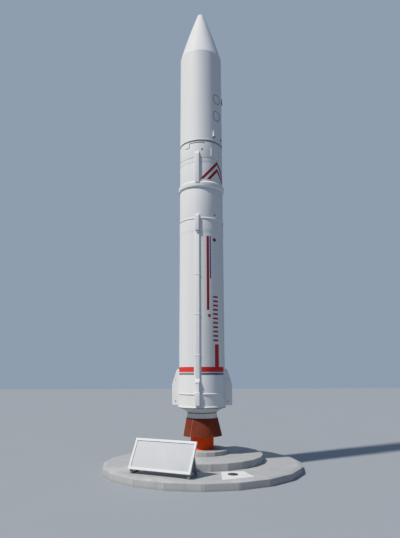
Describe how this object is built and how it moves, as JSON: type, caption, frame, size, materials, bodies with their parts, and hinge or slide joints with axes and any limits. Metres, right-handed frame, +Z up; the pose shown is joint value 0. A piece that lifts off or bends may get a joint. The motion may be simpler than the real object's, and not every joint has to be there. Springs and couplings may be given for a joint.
{
  "type": "space rocket display model on a concrete plinth",
  "caption": "Tall white cylindrical rocket with a conical nose, ring flange, side ducts and aft pods, held by a pipe in its nozzle on a stepped round concrete plinth with a blank notice board.",
  "frame": {"origin": "on the ground, on the rocket's axis, at the centre of the plinth's underside", "axes": "+Z up along the rocket's axis, -Y towards the front, where the notice board stands, +X to the right seen from the front"},
  "size_m": [3.476, 3.476, 9.156],
  "materials": {
    "white_paint": "satin",
    "grey_paint": "satin",
    "nozzle_paint": "satin",
    "pipe_paint": "satin",
    "concrete": "matte",
    "cover_iron": "matte",
    "stand_steel": "satin",
    "board_paint": "satin"
  },
  "bodies": {
    "root": {"plinth_lower": "concrete", "plinth_middle": "concrete", "plinth_block": "concrete", "inspection_cover": "cover_iron", "support_pipe": "pipe_paint", "nozzle_bell": "nozzle_paint", "throat_ring": "grey_paint", "aft_closure": "grey_paint", "aft_skirt": "white_paint", "aft_pod_left": "white_paint", "aft_pod_right": "white_paint", "raceway_foot_front": "white_paint", "raceway_foot_back": "white_paint", "motor_case": "white_paint", "forward_collar": "white_paint", "second_stage_barrel": "white_paint", "ring_flange": "white_paint", "interstage_barrel": "white_paint", "equipment_barrel": "white_paint", "fairing_barrel": "white_paint", "nose_cone": "white_paint", "raceway_long_front": "white_paint", "raceway_long_back": "white_paint", "raceway_box_front": "white_paint", "raceway_box_back": "white_paint", "raceway_interstage_front": "white_paint", "raceway_interstage_back": "white_paint", "fairing_bracket": "white_paint", "fairing_plug": "white_paint", "fairing_lug": "white_paint", "equipment_strip": "white_paint", "sign_rim": "board_paint", "sign_panel": "board_paint", "sign_stand_left": "stand_steel", "sign_stand_right": "stand_steel"}
  },
  "joints": []
}
